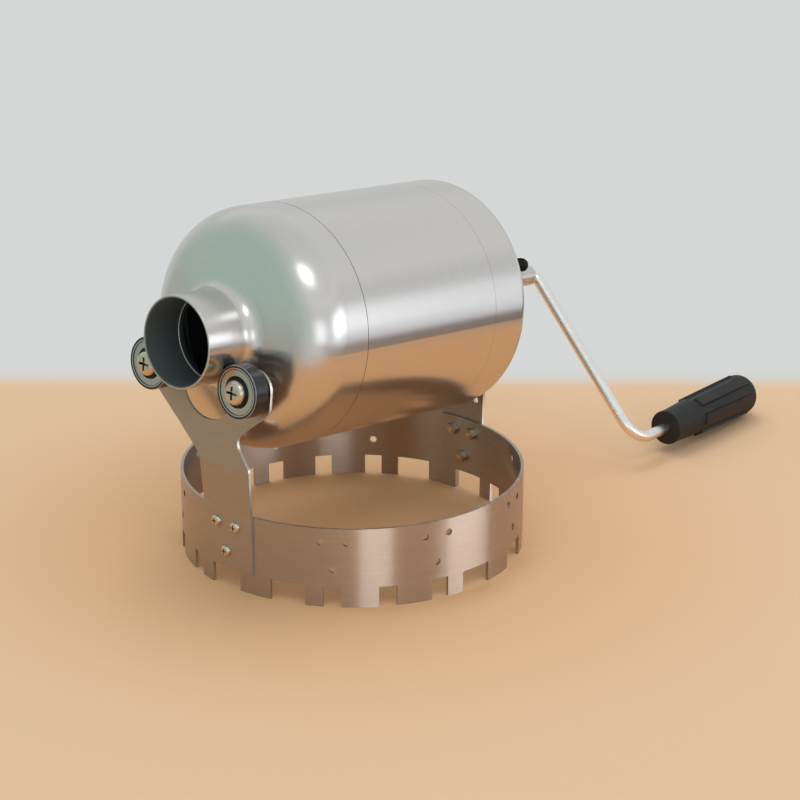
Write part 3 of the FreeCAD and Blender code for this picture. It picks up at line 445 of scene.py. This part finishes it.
for side in SIDES:
    FINISH["roller_%s_ring" % side] = black_ring(side)
    FINISH["roller_%s_balls" % side] = BALL_STEEL
    FINISH["roller_%s_shields" % side] = turned_metal(
        "shield_" + side, ROLLERS[side], SHIELD_DARK, SHIELD_LIGHT, 0.26)
for node, material in FINISH.items():
    NODES[node].data.materials.clear()
    NODES[node].data.materials.append(material)


# ---------------------------------------------------------------- weld inside the neck
_, BEAD_STATION, BEAD_RADIUS, _ = DRUM.span("neck_tube")
BEAD_HALF = 0.35 * MM
BEAD_STEPS, BEAD_SIDES = 240, 10
BEAD_WAVES = ((60, 0.18), (7, 0.10))   # how many go round, and how deep as a share of BEAD_HALF
BEAD_STEEL = plain_metal("weld_steel", (0.62, 0.62, 0.62), (0.8, 0.8, 0.8), 0.4)


def linked(name, mesh, body, material):
    """A new piece on a body, with its finish."""
    mesh.materials.append(material)
    piece = bpy.data.objects.new(name, mesh)
    bpy.context.scene.collection.objects.link(piece)
    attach(piece, body)


def neck_weld():
    """A rippled bead where the neck's tube meets the dome, on the inside."""
    bead = bmesh.new()
    rings = []
    for step in range(BEAD_STEPS):
        turn = 2 * math.pi * step / BEAD_STEPS
        half = BEAD_HALF * (1 + sum(depth * math.sin(count * turn) for count, depth in BEAD_WAVES))
        ring = []
        for corner in range(BEAD_SIDES):
            around = 2 * math.pi * corner / BEAD_SIDES
            radius, station = BEAD_RADIUS + half * math.cos(around), BEAD_STATION + half * math.sin(around)
            ring.append(bead.verts.new(DRUM.ring_point(radius, turn, station)))
        rings.append(ring)
    for first, second in zip(rings, rings[1:] + rings[:1]):
        for corner in range(BEAD_SIDES):
            after = (corner + 1) % BEAD_SIDES
            face = bead.faces.new((first[corner], first[after], second[after], second[corner]))
            face.smooth = True
    bmesh.ops.recalc_face_normals(bead, faces=bead.faces)
    mesh = bpy.data.meshes.new("neck_weld")
    bead.to_mesh(mesh)
    bead.free()
    linked("neck_weld", mesh, "drum", BEAD_STEEL)


neck_weld()


# ---------------------------------------------------------------- directions and the camera
CAMERA_PLACE = Vector((0.81749, -0.875418, 0.523222))
CAMERA_TURN, CAMERA_RISE, CAMERA_ROLL = 41.933, 20.565, 0.168
CAMERA_LENS, SENSOR = 115.395, 36.0    # in millimetres, as a camera's are
CAMERA_CLIP = (0.01, 50.0)


def heading(turn, rise):
    """A direction from its compass turn, from +Y towards +X, and its rise over the horizon."""
    turn, rise = math.radians(turn), math.radians(rise)
    return Vector((math.sin(turn) * math.cos(rise), math.cos(turn) * math.cos(rise), math.sin(rise)))


VIEW_AHEAD, VIEW_RIGHT = heading(-CAMERA_TURN, 0), heading(90 - CAMERA_TURN, 0)


def camera():
    back, roll = heading(180 - CAMERA_TURN, CAMERA_RISE), math.radians(CAMERA_ROLL)
    right = VIEW_RIGHT * math.cos(roll) + back.cross(VIEW_RIGHT) * math.sin(roll)
    up = back.cross(right)
    data = bpy.data.cameras.new("camera")
    data.lens, data.sensor_width, data.sensor_fit = CAMERA_LENS, SENSOR, "HORIZONTAL"
    data.clip_start, data.clip_end = CAMERA_CLIP
    piece = bpy.data.objects.new("camera", data)
    piece.matrix_world = Matrix.Translation(CAMERA_PLACE) @ Matrix((right, up, back)).transposed().to_4x4()
    bpy.context.scene.collection.objects.link(piece)
    bpy.context.scene.camera = piece


camera()
bpy.context.scene.view_settings.view_transform = "Standard"


# ---------------------------------------------------------------- floor and sky
FLOOR_REACH, FLOOR_SIDES, FLOOR_ROUGHNESS, FLOOR_SPECULAR = 8.0, 96, 0.8, 0.15
# the second of these tones is painted shade: darker and deeper near the middle, under the object
PAINTED_SHADE_FLOOR, WARM_FLOOR, FAR_FLOOR = (0.82, 0.49, 0.265), (0.87, 0.585, 0.37), (0.72, 0.73, 0.72)
# the deeper tone that only mirrors see: a painted reflection
MIRRORED_FLOOR = (0.84, 0.435, 0.205)
# how far from the middle the painted shade under the object starts to fade and ends
PAINTED_SHADE_REACH = (0.07, 0.26)
# how far the paint reaches to the camera's right and left, away from it and towards it
RIGHT_EDGE, LEFT_EDGE, FAR_EDGE, NEAR_EDGE, EDGE_SOFT = 0.36, 0.42, 0.235, 0.5, 0.02
# the strip of painted shade that a mirror sees past the right edge, a dark line in the drum's reflection:
# its colour, width and soft sides
MIRRORED_EDGE_SHADE, MIRRORED_EDGE_SHADE_WIDTH, MIRRORED_EDGE_SHADE_SOFT = (0.15, 0.105, 0.085), 0.23, 0.01

# each side's compass turn, and how many degrees from there it starts to fade and ends
BACKDROP, BRIGHT_SIDE, SHADE_SIDE = (0.665, 0.68, 0.672), (0.83, 0.84, 0.87), (0.43, 0.46, 0.40)
BRIGHT_TURN, BRIGHT_SPREAD = 50, (32, 62)
SHADE_TURN, SHADE_SPREAD = -148, (20, 62)
SKY_SHADE, SKY_SHADE_RISE, SKY_SHADE_SPREAD = (0.455, 0.575, 0.52), 12, (25, 75)
# the sky's tones from the horizon up: the heights where each one's rise starts and ends, and its colour
SKY_TONES = (
    (0.15, 0.23, (0.63, 0.635, 0.63)),
    (0.35, 0.45, (0.78, 0.78, 0.77)),
    (0.48, 0.62, (0.71, 0.715, 0.70)),
    (0.70, 0.95, (0.67, 0.68, 0.67)),
)


def glow(nodes, direction, centre, inner, outer):
    """1 within inner degrees of a direction, falling to 0 at outer degrees."""
    cosine = nodes.dot(direction, centre)
    return nodes.remap(cosine, math.cos(math.radians(outer)), math.cos(math.radians(inner)))


def backdrop(nodes, direction):
    """The colour at the horizon: plain pale grey, with a brighter and a duller side."""
    x, y, _ = nodes.parts(direction)
    level = nodes.vector("NORMALIZE", nodes.joined(x, y, 0.0))
    bright = glow(nodes, level, heading(BRIGHT_TURN, 0), *BRIGHT_SPREAD)
    shade = glow(nodes, level, heading(SHADE_TURN, 0), *SHADE_SPREAD)
    return nodes.mix(shade, nodes.mix(bright, BACKDROP, BRIGHT_SIDE), SHADE_SIDE)


def floor_paint():
    """Warm matt paint round the object, with painted shade near its middle. Past its edges, a camera and
    a mirror see the backdrop. A mirror sees the paint in a deeper tone, a painted reflection, and a strip
    of painted shade past its right edge."""
    paint = Shader("floor_paint", WARM_FLOOR, FLOOR_ROUGHNESS, metallic=0.0)
    paint.set("Specular IOR Level", FLOOR_SPECULAR)
    rays = paint.node("ShaderNodeLightPath", {})
    camera_ray, mirror_ray = rays["Is Camera Ray"], rays["Is Glossy Ray"]

    edges = (
        (VIEW_RIGHT, RIGHT_EDGE), (-VIEW_RIGHT, LEFT_EDGE),
        (VIEW_AHEAD, FAR_EDGE), (-VIEW_AHEAD, NEAR_EDGE),
    )
    past = 0.0
    for way, edge in edges:
        reach = paint.dot(paint.place, way)
        past = paint.math("MAXIMUM", past, paint.remap(reach, edge - EDGE_SOFT, edge + EDGE_SOFT))
    x, y, _ = paint.parts(paint.place)
    # painted shade near the middle, under the object
    painted_shade = paint.remap(paint.length(x, y), *PAINTED_SHADE_REACH, 1.0, 0.0)
    warm = paint.mix(mirror_ray, paint.mix(painted_shade, WARM_FLOOR, PAINTED_SHADE_FLOOR), MIRRORED_FLOOR)
    paint.vary(warm, FAR_FLOOR, past)

    across = paint.dot(paint.place, VIEW_RIGHT)
    # painted shade: a dark strip that only mirrors see, past the right edge
    edge_shade = paint.band(across, RIGHT_EDGE, RIGHT_EDGE + MIRRORED_EDGE_SHADE_WIDTH, MIRRORED_EDGE_SHADE_SOFT)
    mirrored = paint.mix(edge_shade, backdrop(paint, paint.place), MIRRORED_EDGE_SHADE)
    screen = paint.node("ShaderNodeEmission", {"Color": paint.mix(camera_ray, mirrored, BACKDROP)})[0]
    on_screen = paint.times(paint.math("MAXIMUM", camera_ray, mirror_ray), past)
    matt = paint.tree.nodes["Principled BSDF"].outputs[0]
    either = paint.node("ShaderNodeMixShader", {0: on_screen, 1: matt, 2: screen})[0]
    paint.feed(paint.tree.nodes["Material Output"].inputs["Surface"], either)
    return paint.material


def floor():
    """A plain round floor, warm round the object with painted shade near its middle, that runs out into
    the backdrop.
    """
    disc = bmesh.new()
    bmesh.ops.create_circle(disc, cap_ends=True, segments=FLOOR_SIDES, radius=FLOOR_REACH)
    mesh = bpy.data.meshes.new("studio_floor")
    disc.to_mesh(mesh)
    disc.free()
    mesh.materials.append(floor_paint())
    piece = bpy.data.objects.new("studio_floor", mesh)
    bpy.context.scene.collection.objects.link(piece)


def studio_sky():
    """Plain soft tones from the horizon up, duller on the backdrop's dull side."""
    world = bpy.data.worlds.new("studio")
    bpy.context.scene.world = world
    world.use_nodes = True
    sky = Nodes(world.node_tree)
    direction = sky.vector("NORMALIZE", sky.node("ShaderNodeTexCoord", {})["Generated"])
    height = sky.parts(direction)[2]
    colour = backdrop(sky, direction)
    for low, high, tone in SKY_TONES:
        colour = sky.mix(sky.remap(height, low, high), colour, tone)
    shade = glow(sky, direction, heading(SHADE_TURN, SKY_SHADE_RISE), *SKY_SHADE_SPREAD)
    colour = sky.mix(shade, colour, SKY_SHADE)
    sky.feed(world.node_tree.nodes["Background"].inputs["Color"], colour)


floor()
studio_sky()


# ---------------------------------------------------------------- lamps
DAYLIGHT = (0.96, 1.0, 1.05)
DRUM_MIDDLE, RING_MIDDLE = Vector((-0.017, -0.01, 0.117)), Vector((0, 0, 0.02))
SHEET_NODES = ("stand_frame", "ring_band")


def soft_lamp(name, direction, distance, width, height, glare, mirrored=True, aim=DRUM_MIDDLE, only=()):
    """A flat lamp that faces aim and shines with the brightness glare. No metal mirrors it where
    mirrored is False. Where only names nodes, it lights nothing else."""
    lamp = bpy.data.lights.new(name, "AREA")
    lamp.shape = "RECTANGLE"
    lamp.size, lamp.size_y = width, height
    lamp.energy = glare * math.pi * width * height
    lamp.color = DAYLIGHT
    piece = bpy.data.objects.new(name, lamp)
    piece.location = aim + direction * distance
    piece.rotation_euler = direction.to_track_quat("Z", "Y").to_euler()
    piece.visible_camera = False
    piece.visible_glossy = mirrored
    bpy.context.scene.collection.objects.link(piece)
    if only:
        lit = bpy.data.collections.new(name + "_lights")
        for node in only:
            lit.objects.link(NODES[node])
        piece.light_linking.receiver_collection = lit


soft_lamp("key_lamp", heading(127, 53), distance=1.3, width=0.46, height=0.30, glare=2.9)
soft_lamp("window_lamp", heading(67, 7), distance=1.6, width=0.95, height=0.5, glare=1.6)
soft_lamp("side_lamp", heading(121, 7), distance=1.5, width=0.66, height=0.44, glare=0.9)
soft_lamp("left_strip", heading(124, 11), distance=0.7, width=0.24, height=0.26, glare=3.9,
          aim=RING_MIDDLE, only=SHEET_NODES)
soft_lamp("right_strip", heading(62, 11), distance=0.7, width=0.40, height=0.26, glare=4.6,
          aim=RING_MIDDLE, only=SHEET_NODES)
soft_lamp("fill_lamp", heading(-60, 72), distance=1.6, width=0.9, height=0.9, glare=2.3, mirrored=False)
